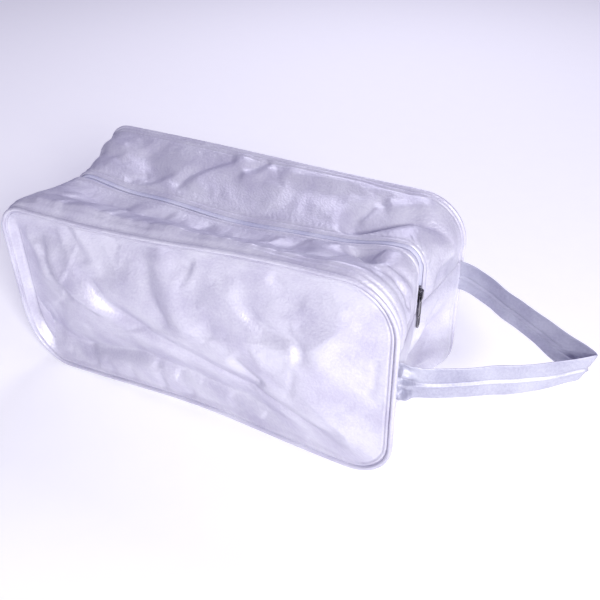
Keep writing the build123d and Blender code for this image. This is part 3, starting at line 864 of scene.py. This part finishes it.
for half, v in (("front", -1), ("back", 1)):
    spread = np.linspace(0.2, TAPE_HALF, 9) / HALF_DEPTH * v
    t, across = np.meshgrid(upper_run, spread, indexing="ij")
    grid = shell(t, across)
    normal = outward_normals(grid) * v
    # The tape lies under the hem, and beyond it sinks with the strip's creases, so that it stays beneath.
    flat = np.stack([unrolled(t), across * HALF_DEPTH], -1)
    off_middle = np.abs(across) * HALF_DEPTH
    to_cross = np.minimum(t - cross_seam(across), 5 - cross_seam(across) - t) * END_WALL
    relief = strip_relief(half, flat, HALF_DEPTH - off_middle, off_middle - slot_half(t), to_cross)
    beyond_hem = np.maximum(off_middle - 6, 0)
    sunk = TAPE_DROP + np.maximum(0.5 * beyond_hem, 0.15 * beyond_hem - np.minimum(relief, 0))
    tape = grid_object(f"{half}_zip_tape_cloth", grid - normal * sunk[..., None], flip=v > 0)
    thicken(tape, TAPE_THICKNESS)
    tape.data.materials.append(zip_tape)
    open_with(tape)
    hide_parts(f"{half}_zip_tape")

    t = run_of(CROSS_SEAM, 5 - CROSS_SEAM, 1.5)
    line = shell(t, np.full_like(t, COIL_LINE / HALF_DEPTH * v))
    along = np.gradient(line, axis=0)
    along /= np.linalg.norm(along, axis=-1, keepdims=True)
    depth = np.tile((0.0, 1.0, 0.0), (len(t), 1))
    outward = np.cross(depth, along)
    turn_angle = np.linspace(0, 2 * math.pi, 8, endpoint=False)
    tooth_side = np.stack([np.cos(turn_angle), np.sin(turn_angle)], -1)
    ring = sweep(line - outward * COIL_DROP, depth, outward, tooth_side * (COIL_WIDTH, COIL_HEIGHT))
    section = circle_profile(WIRE_RADIUS, 5)
    spokes = tooth_side[None, :, :1] * depth[:, None] + tooth_side[None, :, 1:] * outward[:, None]
    coil = ring[:, :, None] + section[:, :1] * spokes[:, :, None] + section[:, 1:] * along[:, None, None]
    count = np.arange(len(t) * 8 * 5).reshape(len(t), 8, 5)
    a, b = count, np.roll(count, -1, 1)
    faces = np.stack([a, np.roll(a, -1, 2), np.roll(b, -1, 2), b], -1).reshape(-1, 4)
    coil_mesh = bpy.data.meshes.new(f"{half}_zip_coil_teeth")
    coil_mesh.from_pydata((coil.reshape(-1, 3) * MM).tolist(), [], faces.tolist())
    coil_piece = bpy.data.objects.new(f"{half}_zip_coil_teeth", coil_mesh)
    bpy.context.scene.collection.objects.link(coil_piece)
    coil_piece.data.materials.append(coil_nylon)
    open_with(coil_piece)
    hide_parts(f"{half}_zip_coil")

# ---------------------------------------------------------------------------------------------
# The slider, its bridge and its pull tab: die-cast zinc, nickel plated and polished.

# Bright nickel over zinc: dark and mirror-like where handled, dulled in patches by fine rubbing marks.
nickel = bpy.data.materials.new("bright_nickel_plated_zinc")
nickel.use_nodes = True
metal_tree = nickel.node_tree
metal_shader = metal_tree.nodes["Principled BSDF"]
metal_shader.inputs["Metallic"].default_value = 1.0
metal_place = node(metal_tree, "ShaderNodeTexCoord").outputs["Object"]
patches = node(metal_tree, "ShaderNodeTexNoise", {"Vector": metal_place}, Scale=260.0, Detail=3.0)
rubbed = node(metal_tree, "ShaderNodeMapping", {"Vector": metal_place}, Scale=(2600.0, 2600.0, 260.0))
scratches = node(metal_tree, "ShaderNodeTexNoise", {"Vector": rubbed.outputs["Vector"]}, Scale=1.0,
                 Detail=2.0)
finish_range = node(metal_tree, "ShaderNodeMapRange", {"Value": patches.outputs["Fac"]}, To_Min=0.14,
                    To_Max=0.34)
metal_tree.links.new(finish_range.outputs["Result"], metal_shader.inputs["Roughness"])
metal_ramp = node(metal_tree, "ShaderNodeValToRGB", {"Fac": patches.outputs["Fac"]})
metal_ramp.color_ramp.elements[0].color = colour("#5e5c60")
metal_ramp.color_ramp.elements[1].color = colour("#9a989b")
metal_tree.links.new(metal_ramp.outputs["Color"], metal_shader.inputs["Base Color"])
metal_bump = node(metal_tree, "ShaderNodeBump", {"Height": scratches.outputs["Fac"]}, Strength=0.15,
                  Distance=0.0001)
metal_tree.links.new(metal_bump.outputs["Normal"], metal_shader.inputs["Normal"])
for name in ("slider_body", "slider_bridge", "pull_tab"):
    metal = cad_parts[name]
    metal.data.materials.clear()
    metal.data.materials.append(nickel)

# ---------------------------------------------------------------------------------------------
# The wrist strap. A strip of the nylon folded in four round webbing and stitched down its
# middle. Its ends are sewn in under the piping, and it is creased sharply at its far end.

STRAP_WIDTH = 26.5
ROOT_WIDENING = 8
strap_low, strap_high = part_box("strap_sleeve")
strap_tip = strap_high.x / MM - 3.0
strap_tip_height = (strap_high.z + strap_low.z) / 2 / MM + 3
front_leg = [(166, -68, 101), (178, -68.4, 101.5), (190, -65, 101.5), (202, -58.5, 101), (224, -45, 100),
             (252, -26.5, 99.5), (276, -10.5, 101), (strap_tip - 1, -1.3, strap_tip_height - 1)]
back_leg = [(strap_tip - 1, 1.3, strap_tip_height - 1), (276, 10.5, 105), (252, 25.5, 106.5),
            (224, 43, 108.5), (200, 58.5, 109.5), (188, 65.5, 110), (178, 68.4, 110), (166, 68, 110)]
front_line = smooth_line(front_leg, 130)
back_line = smooth_line(back_leg, 130)
strap_line = np.vstack([front_line, [(strap_tip, 0, strap_tip_height - 1)], back_line])
strap_along = np.gradient(strap_line, axis=0)
strap_along /= np.linalg.norm(strap_along, axis=-1, keepdims=True)
upright = np.array((0.0, 0.0, 1.0)) - strap_along[:, 2:] * strap_along
tip_fold = np.array((0.33, 0.0, 1.0))
near_tip = ease(strap_line[:, 0], 240, strap_tip - 2)[:, None]
upright /= np.linalg.norm(upright, axis=-1, keepdims=True)
strap_up = upright * (1 - near_tip) + tip_fold * near_tip
strap_out = np.cross(strap_up, strap_along)
strap_out /= np.linalg.norm(strap_out, axis=-1, keepdims=True)


def strap_surface():
    """The strap's skin: a thin pad whose faces meet in round edges, with a sewn lip along each face.

    Half its thickness is 0.95, plus a lip below the middle and a groove on each side of it. Near its
    front root it widens and gathers into pleats, and slight waves run along it.
    """
    steps = np.linalg.norm(np.diff(strap_line, axis=0), axis=-1)
    walked = np.concatenate([[0], np.cumsum(steps)])[:, None]
    across = 0.5 * np.sin(np.linspace(-math.pi / 2, math.pi / 2, 61))
    w = np.concatenate([across, across[-2:0:-1]])[None, :]
    face = np.concatenate([np.ones(61), -np.ones(59)])[None, :]
    face[:, [0, 60]] = 0
    mm = w * STRAP_WIDTH
    lip = 1.1 * np.exp(-(((mm + 1.6) / 0.9) ** 2)) + 0.5 * ease(-mm, 1.0, 2.6)
    groove = -0.6 * np.exp(-(((mm - 0.6) / 0.7) ** 2)) - 0.2 * np.exp(-(((mm + 10.6) / 0.5) ** 2))
    half_thick = (0.95 + lip + groove) * np.clip(1 - (2 * np.abs(w)) ** 10, 0, 1) ** 0.5
    root = np.exp(-((np.maximum(walked - 12, 0) / 8) ** 2)) * (walked < 60)
    width = STRAP_WIDTH + ROOT_WIDENING * root
    spread = np.stack(np.broadcast_arrays(walked, mm), -1)
    wave = 0.55 * lattice_noise(spread / (2.2, 1.0), 9, 31)
    wave += 0.8 * lattice_noise(spread * (1, 0.15), 19, 32)
    pleats = 2.4 * np.sin(mm * 2 * math.pi / 8.5 + 0.9) + 2.4 * lattice_noise(spread, 4.5, 33)
    hold = ease(walked, 10, 30) * ease(walked[-1] - walked, 10, 30)
    lift = face * half_thick + wave * hold + pleats * root * ease(walked, 8, 13)
    sideways = w * width + 0.35 * lattice_noise(spread * (1, 0), 15, 34) * hold
    across_strap = strap_up[:, None] * sideways[..., None]
    return strap_line[:, None] + across_strap + strap_out[:, None] * lift[..., None]


strap = grid_object("wrist_strap_cloth", strap_surface(), around=True, caps=True)
# The strap's nylon is the same cloth, a little duller, with painted shade: its colour is darker and a little
# bluer.
strap_nylon_painted_shade = woven("strap_nylon_taffeta_painted_shade", "#c3c4d2", "#a5a5ba", 0.8, 0.42, 0.3, metallic=0.15,
                    coat=0.35)
strap.data.materials.append(strap_nylon_painted_shade)
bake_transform(strap)
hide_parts("strap_sleeve", "strap_core", "front_strap_end", "back_strap_end")
